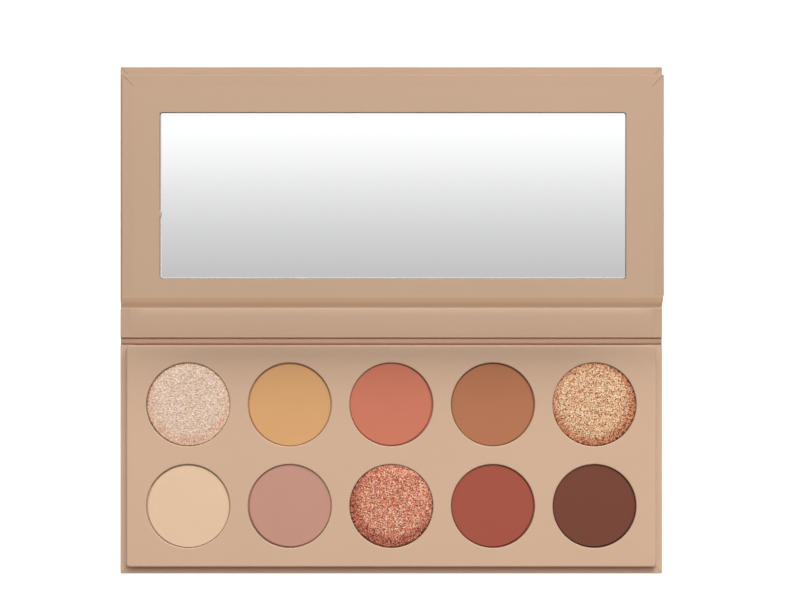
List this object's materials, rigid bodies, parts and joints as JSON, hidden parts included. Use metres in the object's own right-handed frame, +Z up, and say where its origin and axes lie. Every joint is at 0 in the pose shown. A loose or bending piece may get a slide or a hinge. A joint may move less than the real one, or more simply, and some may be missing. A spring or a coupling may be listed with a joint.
{
  "type": "eyeshadow palette",
  "caption": "Slim paper-wrapped eyeshadow palette with round pressed powders in a card tray, two paper hinges and a mirror set in the lid.",
  "frame": {"origin": "centre of the base's underside, with the palette open flat", "axes": "+X to the right along the hinges, +Y from the base towards the lid, +Z up out of the powders"},
  "size_m": [0.1695, 0.1579, 0.0058],
  "materials": {
    "adhesive": "matte",
    "brick_red": "matte",
    "caramel": "matte",
    "case_paper": "matte",
    "champagne_shimmer": "satin",
    "coral": "matte",
    "dark_chocolate": "matte",
    "gold_shimmer": "satin",
    "greyboard": "matte",
    "lining_paper": "matte",
    "magnet_nickel": "satin",
    "mauve_rose": "matte",
    "mirror_glass": "polished",
    "ochre": "matte",
    "rose_copper_shimmer": "satin",
    "tinplate": "satin",
    "tray_paper": "matte",
    "vanilla": "matte"
  },
  "bodies": {
    "base": {"base_board": "greyboard", "base_cover_paper": "case_paper", "base_hinge_cover": "case_paper", "base_hinge_lining": "lining_paper", "pan_01": "tinplate", "pan_02": "tinplate", "pan_03": "tinplate", "pan_04": "tinplate", "pan_05": "tinplate", "pan_06": "tinplate", "pan_07": "tinplate", "pan_08": "tinplate", "pan_09": "tinplate", "pan_10": "tinplate", "pan_adhesive_dots": "adhesive", "powder_brick_red": "brick_red", "powder_caramel": "caramel", "powder_champagne_shimmer": "champagne_shimmer", "powder_coral": "coral", "powder_dark_chocolate": "dark_chocolate", "powder_gold_shimmer": "gold_shimmer", "powder_mauve_rose": "mauve_rose", "powder_ochre": "ochre", "powder_rose_copper_shimmer": "rose_copper_shimmer", "powder_vanilla": "vanilla", "tray_adhesive": "adhesive", "tray_block": "greyboard", "tray_card": "greyboard", "tray_magnets": "magnet_nickel", "tray_wrap_paper": "tray_paper"},
    "spine": {"spine_board": "greyboard", "spine_cover_paper": "case_paper", "spine_lining_paper": "lining_paper", "lid_hinge_cover": "case_paper"},
    "lid": {"lid_board": "greyboard", "lid_cover_paper": "case_paper", "panel_adhesive": "adhesive", "mirror_panel_board": "greyboard", "mirror_panel_wrap": "case_paper", "lid_lining_paper": "lining_paper", "mirror": "mirror_glass", "mirror_tape": "adhesive", "lid_magnets": "magnet_nickel", "lid_hinge_lining": "lining_paper"}
  },
  "joints": [
    {"name": "spine_hinge", "type": "hinge", "parent": "base", "child": "spine", "pos_m": [0, 0.0378, 0], "axis": [1, 0, 0], "range_deg": [0, 90], "deforming": ["base_hinge_cover", "base_hinge_lining"]},
    {"name": "lid_hinge", "type": "hinge", "parent": "spine", "child": "lid", "pos_m": [0, 0.0471, 0], "axis": [1, 0, 0], "range_deg": [0, 90], "deforming": ["lid_hinge_cover", "lid_hinge_lining"]}
  ]
}
